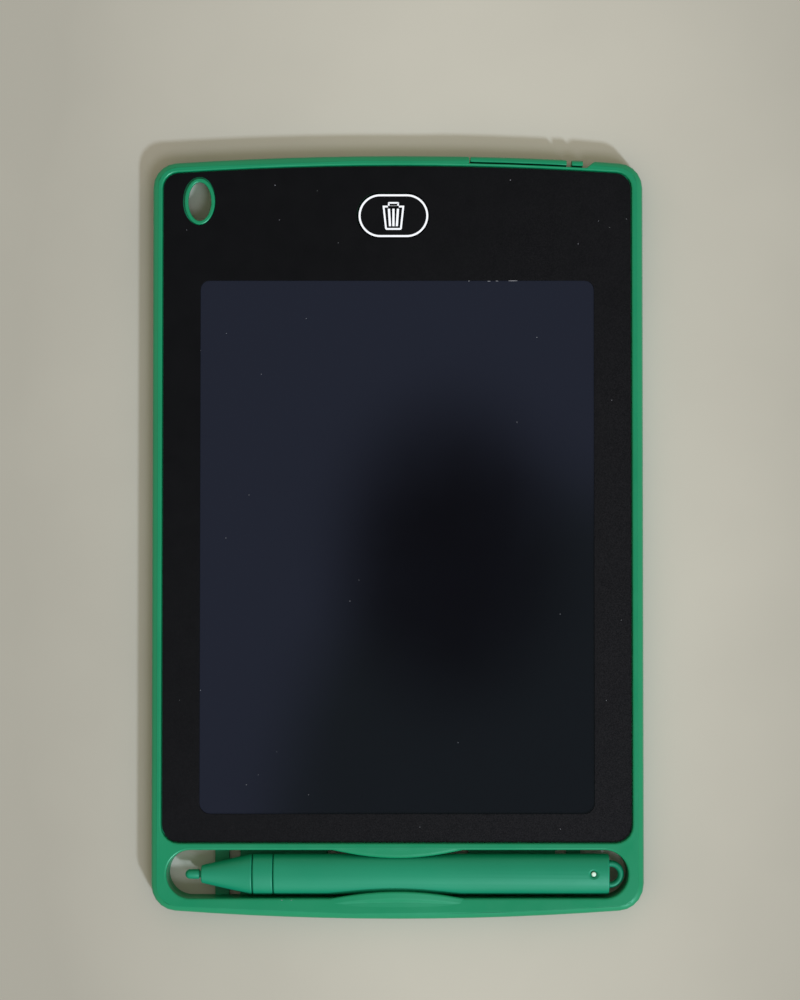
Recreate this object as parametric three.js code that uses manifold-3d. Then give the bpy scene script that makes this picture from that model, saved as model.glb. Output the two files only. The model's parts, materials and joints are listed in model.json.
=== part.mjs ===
import * as THREE from 'three';
import { mergeVertices } from 'three/addons/utils/BufferGeometryUtils.js';
import Module from 'manifold-3d';

// LCD writing tablet lying on its back, in millimetres: +Z points up out of the screen,
// +Y to the end with the erase key and +X to the right. The origin is under its middle.

// Case outline, seen from the front
const caseWidth = 107;
const caseLength = 166.2;
const keyEndBow = 730;
const penEndBow = 660;
const keyEndCorner = 5.55;
const penEndCorner = 5.85;

// Case edge and walls
const partingHeight = 3;
const frontEdgeRadius = 1.2;
const frontEdgeDraft = 0.25;
const backEdgeRadius = 1.6;
const shellWall = 1.6;
const backWall = 1.2;
const webThickness = 1;
const tongueWall = 0.6;
const tongueSideGap = 0.2;
const tongueTopGap = 0.35;
const ribWall = 0.8;
const cutOverrun = 2;

// Clearances
const seatGap = 0.3;
const runGap = 0.2;

// Front panel in a sunk seat with a rounded edge, both a little to the left and key end
const rimWidth = 2.5;
const keyEndRim = 2.5;
const rimHeight = 0.7;
const rimEase = 0.4;
const panelGap = 0.22;
const panelDrift = 0.1;
const panelKeyCorner = 3.45;
const panelPenCorner = 3.8;
const overlayThickness = 0.4;
const adhesiveThickness = 0.15;
const adhesiveSetback = 0.8;

// Window and the films behind it
const sideBand = 8.21;
const keyBand = 25.15;
const penBand = 6.25;
const windowKeyCorner = 2;
const windowPenCorner = 2.3;
const filmBorder = 1.6;
const frontFilmThickness = 0.2;
const rearFilmThickness = 0.15;
const backingThickness = 0.8;
const bondLedge = 2.2;
const tailWidth = 9;
const tailThickness = 0.12;
const tailLanding = 2.4;
const tailStakeGap = 5.5;

// Erase key and its switch
const keyLength = 15.35;
const keyWidth = 9.52;
const keyGap = 0.25;
const keySideOffset = -0.92;
const keySetback = 13.41;
const keyProud = 0.1;
const keyTravel = 0.3;
const keyFlange = 0.8;
const keyFlangeThickness = 0.4;
const keyFlangeGap = 0.1;
const keyWall = 1;
const keyRoof = 0.8;
const keyStemRadius = 1.3;
const keyStemGap = 0.05;
const switchSize = 4;
const switchHeight = 0.8;
const plungerRadius = 0.9;
const plungerSideGap = 0.15;
const plungerSeat = 0.25;
const plungerReserve = 0.1;

// Circuit board
const boardThickness = 1;
const boardCorner = 1;
const boardEdgeGap = 2;
const stakeRadius = 0.6;
const stakeHeadRadius = 1.15;
const stakeHeadHeight = 0.5;
const stakePadRadius = 1.6;
const stakeInset = 2.6;
const chipLength = 6;
const chipWidth = 4;
const chipHeight = 1.1;
const smallPartLength = 2;
const smallPartWidth = 1.2;
const smallPartHeight = 0.8;
const smallPartPitch = 4;

// Coin cell, tray and contacts
const cellDiameter = 20;
const cellThickness = 1.6;
const cellCapRadius = 8.7;
const cellStep = 0.15;
const cellPlay = 0.2;
const cellSetback = 13.1;
const traySideShare = 0.4916;
const trayFloorGap = 0.3;
const trayLedge = 0.5;
const trayLedgeWidth = 1.5;
const trayRail = 0.3;
const trayRailRise = 0.1;
const trayEndWall = 1;
const barDepth = 1.5;
const mouthGap = 0.4;
const barHeightGap = 0.2;
const guideWall = 1;
const contactThickness = 0.2;
const contactWidth = 3;
const contactBump = 0.05;
const contactBumpLength = 2.4;
const contactFoot = 3;
const contactWebGap = 0.1;

// Latch arm beside the tray
const latchSlit = 1.1;
const latchArm = 1.2;
const latchRoot = 2.5;
const latchTab = 2.45;
const latchBarbReach = 0.6;
const latchBarbLength = 2;
const latchBarbSetback = 7.3;
const notchFloor = 0.7;
const notchSlope = 2.1;

// Lanyard hole, which widens towards the back
const lanyardSideSetback = 10.4;
const lanyardEndSetback = 9;
const lanyardHalfWidth = 2.47;
const lanyardHalfLength = 4.22;
const lanyardFlare = 0.95;
const lanyardWall = 0.87;
const lanyardRearWall = 1.8;
const lanyardProud = 0.1;

// Pen slot with a rounded front edge, where the stylus lies a little towards the pen end
const penWidth = 8.8;
const penSideGap = 0.79;
const penProud = 0.3;
const penDrift = 0.2;
const footLand = 4.82;
const slotEndWall = 3.6;
const slotBridge = 1.38;
const slotEase = 0.45;
const slotDraft = 0.2;
const slotWall = 1.2;
const slotFloor = 1;
const pushOpening = 30.6;
const slotFloorLength = 19;
const toolOpening = 2.4;
const crossBar = 3.1;
const landSkin = 1.2;
const landCavityShare = 0.75;

// Slot lips
const lipLength = 27.8;
const upperLipReach = 1.78;
const lowerLipReach = 1.48;
const lipRise = 0.2;
const lipBead = 0.85;
const lipBeadBow = 0.3;

// Stylus, with an oval section
const penNoseGap = 3.9;
const penTailGap = 0.76;
const nibLength = 3.45;
const nibRadius = 1.05;
const nibShankRadius = 0.75;
const nibShankLength = 5;
const nibNeck = 0.4;
const coneLength = 11.05;
const coneTipHalfWidth = 1.93;
const coneTipHalfThickness = 1.9;
const collarLength = 4.35;
const penEdge = 0.2;
const penSeam = 0.15;
const spigotRadius = 1.7;
const spigotInCone = 3.5;
const loopRadius = 3;
const loopStand = 0.3;
const loopHoleRadius = 1.58;
const loopThickness = 2;
const loopPlugHalfWidth = 2.4;
const loopPlugLength = 5;
const loopLedge = 0.12;

// Faceting
const cornerSteps = 5;
const bowSteps = 12;
const edgeSteps = 4;
const roundSteps = 16;
const penSteps = 32;

// Heights, from the table up
const boardBottom = backWall + contactThickness;
const boardTop = boardBottom + boardThickness;
const switchTop = boardTop + switchHeight;
const plungerTop = switchTop + keyTravel + plungerReserve;
const trayBottom = backWall + trayFloorGap;
const cellBottom = trayBottom + trayLedge;
const cellTop = cellBottom + cellThickness;
const trayTop = cellTop + trayRailRise;
const upperContactBottom = cellTop + seatGap + contactBump;
const webBottom = upperContactBottom + contactThickness + contactWebGap;
const webTop = webBottom + webThickness;
const overlayBottom = webTop + adhesiveThickness;
const overlayTop = overlayBottom + overlayThickness;
const caseHeight = overlayTop + rimHeight;
const frontFilmBottom = overlayBottom - frontFilmThickness;
const rearFilmBottom = frontFilmBottom - rearFilmThickness;
const backingBottom = rearFilmBottom - backingThickness;
const keyTop = overlayTop + keyProud;
const keyFlangeTop = webBottom - keyFlangeGap;
const keyFlangeBottom = keyFlangeTop - keyFlangeThickness;
const penBottom = slotFloor + seatGap;
const penThickness = caseHeight + penProud - penBottom;
const penCentreHeight = penBottom + penThickness / 2;

// Places in plan
const caseEnd = caseLength / 2;
const caseSide = caseWidth / 2;
const slotHalfWidth = penWidth / 2 + penSideGap;
const slotHalfLength = caseSide - slotEndWall;
const slotY = -caseEnd + footLand + slotHalfWidth;
const slotTop = slotY + slotHalfWidth;
const slotFoot = slotY - slotHalfWidth;
const penY = slotY - penDrift;
const panelEnd = caseEnd - keyEndRim;
const panelFoot = slotTop + slotBridge;
const panelSide = caseSide - rimWidth;
const windowEnd = panelEnd - keyBand;
const windowFoot = panelFoot + penBand;
const windowSide = panelSide - sideBand;
const filmEnd = windowEnd + filmBorder;
const tongueOuter = shellWall + tongueSideGap;
const tongueInner = tongueOuter + tongueWall;
const keyY = caseEnd - keySetback;
const lanyardX = -caseSide + lanyardSideSetback;
const lanyardY = edgeY(lanyardX) - lanyardEndSetback;
const cellY = caseEnd - cellSetback;
const trayX = caseSide * traySideShare;
const pocketRadius = cellDiameter / 2 + cellPlay;
const trayLeft = trayX - pocketRadius - trayRail;
const trayRight = trayX + pocketRadius + trayRail;
const trayInnerEnd = cellY - pocketRadius - trayEndWall;
const armLeft = trayRight + latchSlit;
const armRight = armLeft + latchArm;
const tabRight = armLeft + latchTab;
const armStart = trayInnerEnd + latchRoot + seatGap;
const barbY = caseEnd - latchBarbSetback;
const notchX = tabRight + notchFloor;
const boardLeft = lanyardX + lanyardHalfWidth + lanyardWall + boardEdgeGap;
const boardRight = trayLeft - runGap - guideWall - seatGap;
const boardFoot = filmEnd + seatGap + boardEdgeGap;
const boardEnd = edgeY(boardLeft) - tongueInner - seatGap;
const tailX = boardLeft + stakeInset + stakeHeadRadius + tailStakeGap + tailWidth / 2;

const wasm = await Module();
wasm.setup();

// Y of the case's key end at a place across it
function edgeY(x) {
  return caseEnd - keyEndBow + Math.sqrt(keyEndBow ** 2 - x ** 2);
}

// Closed solid of a three.js geometry, ready for joining and cutting
function solid(geometry) {
  const bare = geometry.index ? geometry.toNonIndexed() : geometry.clone();
  bare.deleteAttribute('normal');
  bare.deleteAttribute('uv');
  const merged = mergeVertices(bare);
  const vertProperties = merged.attributes.position.array;
  const triVerts = Uint32Array.from(merged.index.array);
  return new wasm.Manifold(new wasm.Mesh({ numProp: 3, vertProperties, triVerts }));
}

// three.js geometry of a solid
function geometryOf(body) {
  const mesh = body.getMesh();
  const geometry = new THREE.BufferGeometry();
  geometry.setAttribute('position', new THREE.BufferAttribute(mesh.vertProperties, 3));
  geometry.setIndex(new THREE.BufferAttribute(mesh.triVerts, 1));
  geometry.computeVertexNormals();
  return geometry;
}

// Solid through a stack of rings with equal counts of points and a flat cap at each end
function loft(rings) {
  const count = rings[0].length;
  const positions = rings.flat().flatMap((point) => [point.x, point.y, point.z]);
  const index = [];
  for (let level = 0; level < rings.length - 1; level++) {
    for (let i = 0; i < count; i++) {
      const low = level * count + i;
      const lowNext = level * count + ((i + 1) % count);
      index.push(low, lowNext, lowNext + count);
      index.push(low, lowNext + count, low + count);
    }
  }
  for (const level of [0, rings.length - 1]) {
    const centre = positions.length / 3;
    const middle = new THREE.Vector3();
    rings[level].forEach((point) => middle.addScaledVector(point, 1 / count));
    positions.push(middle.x, middle.y, middle.z);
    for (let i = 0; i < count; i++) {
      const here = level * count + i;
      const next = level * count + ((i + 1) % count);
      index.push(centre, ...(level === 0 ? [next, here] : [here, next]));
    }
  }
  const geometry = new THREE.BufferGeometry();
  geometry.setAttribute('position', new THREE.Float32BufferAttribute(positions, 3));
  geometry.setIndex(index);
  return solid(geometry);
}

// Upright prism over an outline, given as a Shape or as a list of points
function prism(outline, low, high) {
  const shape = Array.isArray(outline) ? new THREE.Shape(outline) : outline;
  const options = { depth: high - low, bevelEnabled: false, curveSegments: roundSteps };
  return solid(new THREE.ExtrudeGeometry(shape, options).translate(0, 0, low));
}

function block(left, right, foot, end, low, high) {
  const geometry = new THREE.BoxGeometry(right - left, end - foot, high - low);
  return solid(geometry.translate((left + right) / 2, (foot + end) / 2, (low + high) / 2));
}

function post(x, y, radius, low, high) {
  const geometry = new THREE.CylinderGeometry(radius, radius, high - low, 2 * roundSteps);
  return solid(geometry.rotateX(Math.PI / 2).translate(x, y, (low + high) / 2));
}

// Rod along X
function rod(radius, from, to) {
  const geometry = new THREE.CylinderGeometry(radius, radius, to - from, 2 * roundSteps);
  return solid(geometry.rotateZ(Math.PI / 2).translate((from + to) / 2, 0, 0));
}

function ellipse(x, y, halfWidth, halfLength) {
  return new THREE.Shape().absellipse(x, y, halfWidth, halfLength, 0, 2 * Math.PI);
}

// Slot outline with round ends, its length along X
function stadium(x, y, halfLength, halfWidth) {
  const reach = halfLength - halfWidth;
  const shape = new THREE.Shape();
  shape.absarc(x + reach, y, halfWidth, -Math.PI / 2, Math.PI / 2);
  shape.absarc(x - reach, y, halfWidth, Math.PI / 2, (3 * Math.PI) / 2);
  return shape;
}

// One end of an outline from its right side to its left: a rounded corner, a shallow bow
// or a straight edge, and the other corner
function outlineEnd(side, end, bow, corner) {
  const cornerX = side - corner;
  const rise = bow ? Math.sqrt((bow - corner) ** 2 - cornerX ** 2) : 0;
  const cornerY = bow ? end - bow + rise : end - corner;
  const lean = bow ? Math.atan2(cornerX, rise) : 0;
  const sweep = Math.PI / 2 - lean;
  const points = [];
  const turn = (x, from) => {
    for (let i = 0; i <= cornerSteps; i++) {
      const angle = from + (sweep * i) / cornerSteps;
      points.push(new THREE.Vector2(x + corner * Math.cos(angle), cornerY + corner * Math.sin(angle)));
    }
  };
  turn(cornerX, 0);
  for (let i = 1; bow && i < bowSteps; i++) {
    const angle = sweep + (2 * lean * i) / bowSteps;
    points.push(new THREE.Vector2(bow * Math.cos(angle), end - bow + bow * Math.sin(angle)));
  }
  turn(-cornerX, Math.PI / 2 + lean);
  return points;
}

function outline({ side, end, foot, endBow = 0, footBow = 0, endCorner, footCorner }) {
  const upper = outlineEnd(side, end, endBow, endCorner);
  const lower = outlineEnd(side, -foot, footBow, footCorner);
  return [...upper, ...lower.map((point) => new THREE.Vector2(-point.x, -point.y))];
}

// Case outline drawn in by an inset, or let out by a negative one
function caseOutline(inset) {
  return outline({
    side: caseSide - inset,
    end: caseEnd - inset,
    foot: inset - caseEnd,
    endBow: keyEndBow - inset,
    footBow: penEndBow - inset,
    endCorner: keyEndCorner - inset,
    footCorner: penEndCorner - inset,
  });
}

function panelOutline(inset) {
  return outline({
    side: panelSide - inset,
    end: panelEnd - inset,
    foot: panelFoot + inset,
    endBow: keyEndBow - keyEndRim - inset,
    endCorner: panelKeyCorner - inset,
    footCorner: panelPenCorner - inset,
  });
}

// Window outline let out by a margin, with its key end held back by a ledge
function windowOutline(margin, ledge = 0) {
  return outline({
    side: windowSide + margin,
    end: windowEnd + margin - ledge,
    foot: windowFoot - margin,
    endCorner: windowKeyCorner + margin / 2,
    footCorner: windowPenCorner + margin / 2,
  });
}

// The whole case as one rounded block, before it is parted and hollowed
function caseBlank() {
  const levels = [];
  for (let i = 0; i <= edgeSteps; i++) {
    const angle = (Math.PI / 2) * (i / edgeSteps);
    const inset = backEdgeRadius * (1 - Math.sin(angle));
    levels.push([inset, backEdgeRadius * (1 - Math.cos(angle))]);
  }
  levels.push([0, partingHeight]);
  for (let i = 0; i <= edgeSteps; i++) {
    const angle = (Math.PI / 2) * (i / edgeSteps);
    const inset = frontEdgeDraft + frontEdgeRadius * (1 - Math.cos(angle));
    levels.push([inset, caseHeight - frontEdgeRadius * (1 - Math.sin(angle))]);
  }
  return loft(levels.map(([inset, height]) => (
    caseOutline(inset).map((point) => new THREE.Vector3(point.x, point.y, height))
  )));
}

const blank = caseBlank();
const everywhere = [-caseWidth, caseWidth, -caseLength, caseLength];

// Room inside the case between two heights, down to the wall beside the pen slot
function hollow(inset, low, high) {
  const room = block(-caseSide, caseSide, slotTop + slotWall, caseEnd, low, high);
  return prism(caseOutline(inset), low, high).intersect(room);
}

// Room inside the land below the pen slot
function landHollow(inset, low, high) {
  const reach = caseSide * landCavityShare;
  const room = block(-reach, reach, -caseEnd, slotFoot - slotWall, low, high);
  return prism(caseOutline(inset), low, high).intersect(room);
}

// Outline round the lanyard hole's front edge, let out by a margin
function lanyardOutline(margin) {
  return ellipse(lanyardX, lanyardY, lanyardHalfWidth + margin, lanyardHalfLength + margin);
}

function lanyardCutter() {
  const ring = (height, margin) => {
    const points = lanyardOutline(margin).getPoints(roundSteps).slice(1);
    return points.map((point) => new THREE.Vector3(point.x, point.y, height));
  };
  return loft([
    ring(-cutOverrun, lanyardFlare),
    ring(0, lanyardFlare),
    ring(webTop, 0),
    ring(caseHeight + cutOverrun, 0),
  ]);
}

// Top rings of a cut through the front that rounds off the front edge along it
function easedRings(ring, radius) {
  const rings = [];
  for (let i = 0; i <= edgeSteps; i++) {
    const angle = (Math.PI / 2) * (i / edgeSteps);
    const height = caseHeight - radius * (1 - Math.sin(angle));
    rings.push(ring(height, radius * (1 - Math.cos(angle))));
  }
  return [...rings, ring(caseHeight + cutOverrun, radius)];
}

function seatCutter() {
  const ring = (height, margin) => (
    panelOutline(-margin).map((point) => new THREE.Vector3(point.x, point.y, height))
  );
  return loft([ring(webTop, 0), ...easedRings(ring, rimEase)]).translate(-panelDrift, panelDrift, 0);
}

// Pen slot through the case, with upright walls at the front and tapered ones at the back
function slotCutter() {
  const ring = (height, margin) => {
    const shape = stadium(0, slotY, slotHalfLength + margin, slotHalfWidth + margin);
    const points = shape.getPoints(roundSteps);
    return points.map((point) => new THREE.Vector3(point.x, point.y, height));
  };
  return loft([
    ring(-cutOverrun, -slotDraft),
    ring(0, -slotDraft),
    ring(penCentreHeight, 0),
    ...easedRings(ring, slotEase),
  ]);
}

// What is left under the pen: a floor each side of the push opening, and a bar beyond each
function slotFloorBlocks() {
  const floorFrom = pushOpening / 2;
  const floorTo = floorFrom + slotFloorLength;
  const barFrom = floorTo + toolOpening;
  const spans = [[floorFrom, floorTo], [barFrom, barFrom + crossBar]];
  return spans.flatMap(([from, to]) => [
    block(from, to, slotFoot, slotTop, 0, slotFloor),
    block(-to, -from, slotFoot, slotTop, 0, slotFloor),
  ]);
}

// Opening in the key end for the tray's bar and latch tab, with a sloped finger notch
function trayMouthCutter() {
  const depth = barDepth + mouthGap;
  const from = trayLeft - runGap;
  const low = -cutOverrun;
  const high = caseHeight + cutOverrun;
  const band = prism(caseOutline(-cutOverrun), low, high).subtract(
    prism(caseOutline(depth), low - cutOverrun, high + cutOverrun),
  );
  const mouth = band.intersect(block(from, notchX, cellY, caseEnd + 2 * cutOverrun, low, high));
  const slope = [
    new THREE.Vector2(tabRight, edgeY(tabRight) - depth),
    new THREE.Vector2(notchX, edgeY(notchX) - depth),
    new THREE.Vector2(notchX + notchSlope, edgeY(notchX + notchSlope)),
    new THREE.Vector2(notchX + notchSlope, caseEnd + cutOverrun),
    new THREE.Vector2(tabRight, caseEnd + cutOverrun),
  ];
  return mouth.add(prism(slope, low, high));
}

// Way through the walls for the tray's body
function trayWay(low, high) {
  return block(trayLeft - runGap, armRight + seatGap, cellY, caseEnd + cutOverrun, low, high);
}

// Piece of the case's rounded edge, cut out between two places across the key end
function edgePiece(left, right) {
  const span = block(left, right, cellY, caseEnd, barHeightGap, caseHeight - barHeightGap);
  return blank.intersect(span).subtract(prism(caseOutline(barDepth), 0, caseHeight));
}

// Shallow arc along the slot that stands off a root line by its reach
function lipArc(rootY, reach) {
  const half = lipLength / 2;
  const size = Math.abs(reach);
  const radius = (half ** 2 + size ** 2) / (2 * size);
  const swing = Math.asin(half / radius);
  const points = [];
  for (let i = 0; i <= bowSteps; i++) {
    const angle = swing * ((2 * i) / bowSteps - 1);
    const stand = radius * Math.cos(angle) - radius + size;
    points.push(new THREE.Vector2(radius * Math.sin(angle), rootY + Math.sign(reach) * stand));
  }
  return points;
}

// Places of the four heat stakes that hold the circuit board
const stakePlaces = [boardLeft + stakeInset, boardRight - stakeInset].flatMap((x) => [
  [x, boardFoot + stakeInset],
  [x, boardEnd - stakeInset],
]);

function frontBezel() {
  const webWindow = prism(windowOutline(filmBorder + seatGap), webBottom - cutOverrun, caseHeight);
  const keyHole = stadium(keySideOffset, keyY, keyLength / 2 + keyGap, keyWidth / 2 + keyGap);
  return blank
    .intersect(block(...everywhere, partingHeight, caseHeight + cutOverrun))
    .subtract(hollow(shellWall, partingHeight - cutOverrun, webBottom))
    .subtract(landHollow(shellWall, partingHeight - cutOverrun, caseHeight - landSkin))
    .subtract(seatCutter())
    .subtract(webWindow)
    .subtract(prism(keyHole, webBottom - cutOverrun, caseHeight))
    .add(prism(lanyardOutline(lanyardWall), partingHeight, overlayTop + lanyardProud))
    .subtract(lanyardCutter())
    .subtract(slotCutter())
    .subtract(trayMouthCutter())
    .subtract(trayWay(0, webBottom));
}

function rearCover() {
  const ringFoot = slotTop + slotWall;
  const tongue = prism(caseOutline(tongueOuter), backWall, webBottom - tongueTopGap)
    .subtract(prism(caseOutline(tongueInner), 0, caseHeight))
    .intersect(block(-caseSide, caseSide, ringFoot + tongueSideGap, caseEnd, 0, caseHeight));
  let cover = blank
    .intersect(block(...everywhere, -cutOverrun, partingHeight))
    .subtract(hollow(tongueInner, backWall, partingHeight + cutOverrun))
    .subtract(landHollow(tongueInner, backWall, partingHeight + cutOverrun))
    .add(tongue)
    .add(prism(lanyardOutline(lanyardRearWall), 0, partingHeight));

  // Ribs that carry the backing board
  const ribFoot = windowFoot;
  const ribEnd = filmEnd - bondLedge - ribWall;
  const ribSpan = windowSide;
  const uprightShares = [-0.8, -0.4, 0, 0.4, 0.8];
  for (const share of uprightShares) {
    const x = ribSpan * share;
    cover = cover.add(block(x - ribWall / 2, x + ribWall / 2, ribFoot, ribEnd, 0, backingBottom));
  }
  const crossShares = [0.06, 0.35, 0.65, 0.94];
  for (const share of crossShares) {
    const y = ribFoot + (ribEnd - ribFoot) * share;
    cover = cover.add(block(-ribSpan, ribSpan, y - ribWall / 2, y + ribWall / 2, 0, backingBottom));
  }

  // Guides beside and behind the tray, with a pocket that holds the latch's barb
  const guideEnd = edgeY(tabRight) - tongueOuter;
  const guideFoot = trayInnerEnd - seatGap;
  const leftGuide = trayLeft - runGap;
  const rightGuide = armRight + seatGap;
  const guideBox = (left, right, foot, end) => block(left, right, foot, end, 0, trayTop);
  cover = cover
    .add(guideBox(leftGuide - guideWall, leftGuide, guideFoot - guideWall, guideEnd))
    .add(guideBox(rightGuide, rightGuide + guideWall, guideFoot - guideWall, guideEnd))
    .add(guideBox(leftGuide - guideWall, rightGuide + guideWall, guideFoot - guideWall, guideFoot));
  const pocket = block(
    rightGuide - cutOverrun, rightGuide + guideWall + cutOverrun,
    barbY - latchBarbLength - seatGap, barbY + seatGap, backWall, caseHeight,
  );
  const contactWay = block(
    leftGuide - guideWall - cutOverrun, leftGuide + cutOverrun,
    cellY - contactWidth / 2 - seatGap, cellY + contactWidth / 2 + seatGap, backWall, trayBottom,
  );

  // Pads and heat stakes that hold the circuit board
  for (const [x, y] of stakePlaces) {
    cover = cover
      .add(post(x, y, stakePadRadius, 0, boardBottom))
      .add(post(x, y, stakeRadius, 0, boardTop + stakeHeadHeight))
      .add(post(x, y, stakeHeadRadius, boardTop, boardTop + stakeHeadHeight));
  }

  const slotWay = slotFloorBlocks().reduce((way, floor) => way.subtract(floor), slotCutter());
  return cover
    .subtract(pocket)
    .subtract(contactWay)
    .subtract(lanyardCutter())
    .subtract(slotWay)
    .subtract(trayMouthCutter())
    .subtract(trayWay(backWall, caseHeight));
}

// Lip that reaches from the slot's edge over the stylus, with a bowed bead behind its root
function slotLip(rootY, reach) {
  const direction = Math.sign(reach);
  const tipShare = Math.abs(rootY + reach - penY) / (penWidth / 2);
  const penSurface = penCentreHeight + (penThickness / 2) * Math.sqrt(1 - tipShare ** 2);
  const beadBack = lipArc(rootY - direction * (lipBead + lipBeadBow), direction * lipBeadBow);
  const plan = [...lipArc(rootY, reach), ...beadBack.reverse()];
  return prism(plan, penSurface + seatGap, caseHeight)
    .intersect(slotCutter())
    .add(prism(plan, caseHeight, caseHeight + lipRise));
}

function frontPanelOverlay() {
  const ring = lanyardOutline(lanyardWall + panelGap);
  const keyHole = stadium(keySideOffset, keyY, keyLength / 2 + keyGap, keyWidth / 2 + keyGap);
  const low = overlayBottom - cutOverrun;
  const high = overlayTop + cutOverrun;
  return prism(panelOutline(panelGap), overlayBottom, overlayTop)
    .subtract(prism(windowOutline(0), low, high))
    .subtract(prism(keyHole, low, high))
    .subtract(prism(ring, low, high))
    .translate(-panelDrift, panelDrift, 0);
}

function adhesiveFrame() {
  const ring = lanyardOutline(lanyardWall + adhesiveSetback);
  const keyHole = stadium(
    keySideOffset, keyY, keyLength / 2 + adhesiveSetback, keyWidth / 2 + adhesiveSetback,
  );
  const low = webTop - cutOverrun;
  const high = overlayBottom + cutOverrun;
  return prism(panelOutline(adhesiveSetback), webTop, overlayBottom)
    .subtract(prism(windowOutline(filmBorder + adhesiveSetback), low, high))
    .subtract(prism(keyHole, low, high))
    .subtract(prism(ring, low, high));
}

// Thin sheet bent along a path in its own X-Y plane, with its width along Z
function bentStrip(path, thickness, width) {
  const points = path.map(([x, y]) => new THREE.Vector2(x, y));
  const sides = points.map((point, i) => {
    const before = points[Math.max(i - 1, 0)];
    const after = points[Math.min(i + 1, points.length - 1)];
    const into = point.clone().sub(i > 0 ? before : after).multiplyScalar(i > 0 ? 1 : -1).normalize();
    const onto = i < points.length - 1 ? after.clone().sub(point).normalize() : into;
    const bisector = new THREE.Vector2(-into.y - onto.y, into.x + onto.x);
    return point.clone().addScaledVector(bisector, thickness / (1 + into.dot(onto)));
  });
  return prism([...points, ...sides.reverse()], -width / 2, width / 2);
}

// Ribbon that runs from the film's bond ledge, under the web, down to the circuit board
function lcdTail() {
  const bondFrom = windowEnd + filmBorder - bondLedge + seatGap;
  const drop = filmEnd - bondLedge / 2;
  const underWeb = webBottom - seatGap - tailThickness;
  const bond = frontFilmBottom - tailThickness;
  return bentStrip([
    [bondFrom, bond],
    [drop, bond],
    [drop, underWeb],
    [boardFoot - seatGap, underWeb],
    [boardFoot + seatGap, boardTop],
    [boardFoot + seatGap + tailLanding, boardTop],
  ], tailThickness, tailWidth);
}

function circuitBoard() {
  const side = (boardRight - boardLeft) / 2;
  const half = (boardEnd - boardFoot) / 2;
  const shape = outline({
    side, end: half, foot: -half, endCorner: boardCorner, footCorner: boardCorner,
  });
  const middle = [(boardLeft + boardRight) / 2, (boardFoot + boardEnd) / 2];
  let board = prism(shape, 0, boardThickness).translate(...middle, boardBottom);
  for (const [x, y] of stakePlaces) {
    board = board.subtract(post(x, y, stakeRadius + seatGap, 0, caseHeight));
  }
  return board;
}

function eraseKey() {
  const inner = stadium(0, 0, keyLength / 2 - keyWall, keyWidth / 2 - keyWall);
  return prism(stadium(0, 0, keyLength / 2, keyWidth / 2), keyFlangeBottom, keyTop)
    .add(prism(
      stadium(0, 0, keyLength / 2 + keyFlange, keyWidth / 2 + keyFlange),
      keyFlangeBottom, keyFlangeTop,
    ))
    .subtract(prism(inner, keyFlangeBottom - cutOverrun, keyTop - keyRoof))
    .add(post(0, 0, keyStemRadius, plungerTop + keyStemGap, keyTop - keyRoof / 2));
}

function tactSwitchBody() {
  const half = switchSize / 2;
  const bore = plungerSeat + keyTravel + plungerReserve;
  return block(-half, half, -half, half, boardTop, switchTop)
    .subtract(post(0, 0, plungerRadius + plungerSideGap, switchTop - bore, switchTop + cutOverrun));
}

function switchPlunger() {
  return post(0, 0, plungerRadius, switchTop - plungerSeat, plungerTop);
}

function coinCell() {
  const radius = cellDiameter / 2;
  const profile = [
    [0, 0],
    [radius - cellStep, 0],
    [radius, cellStep],
    [radius, cellThickness - 2 * cellStep],
    [radius - cellStep, cellThickness - cellStep],
    [cellCapRadius, cellThickness - cellStep],
    [cellCapRadius - cellStep, cellThickness],
    [0, cellThickness],
  ].map(([x, y]) => new THREE.Vector2(x, y));
  return solid(new THREE.LatheGeometry(profile, 3 * roundSteps).rotateX(Math.PI / 2));
}

function batteryTray() {
  const clearBody = prism(caseOutline(barDepth / 2), trayBottom, trayTop);
  const passage = contactBumpLength / 2 + seatGap + contactBumpLength / 2;
  return block(trayLeft, trayRight, trayInnerEnd, caseEnd, trayBottom, trayTop)
    .intersect(clearBody)
    .add(edgePiece(trayLeft, trayRight))
    .add(block(trayLeft, armRight, trayInnerEnd, trayInnerEnd + latchRoot, trayBottom, trayTop))
    .subtract(post(trayX, cellY, pocketRadius, cellBottom, caseHeight))
    .subtract(post(trayX, cellY, pocketRadius - trayLedgeWidth, 0, caseHeight))
    .subtract(block(
      trayX - passage, trayX + passage, trayInnerEnd - cutOverrun, cellY,
      0, cellBottom,
    ));
}

function trayLatchArm() {
  const barb = [
    new THREE.Vector2(armRight - latchArm / 2, barbY - latchBarbLength),
    new THREE.Vector2(armRight, barbY - latchBarbLength),
    new THREE.Vector2(armRight + latchBarbReach, barbY),
    new THREE.Vector2(armRight - latchArm / 2, barbY),
  ];
  return block(armLeft, armRight, armStart, caseEnd, trayBottom, trayTop)
    .intersect(prism(caseOutline(barDepth / 2), trayBottom, trayTop))
    .add(edgePiece(armLeft, tabRight))
    .add(prism(barb, trayBottom, trayTop));
}

// Contact springs from the circuit board to the middle of the cell, made in an X-height
// plane and then turned upright
function upperContact() {
  const footEnd = boardRight - seatGap;
  const bumpFrom = trayX - contactBumpLength / 2;
  const bumpTo = trayX + contactBumpLength / 2;
  return bentStrip([
    [footEnd - contactFoot, boardTop],
    [footEnd, boardTop],
    [footEnd, upperContactBottom],
    [bumpFrom - contactBumpLength, upperContactBottom],
    [bumpFrom, upperContactBottom - contactBump],
    [bumpTo, upperContactBottom - contactBump],
  ], contactThickness, contactWidth);
}

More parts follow.
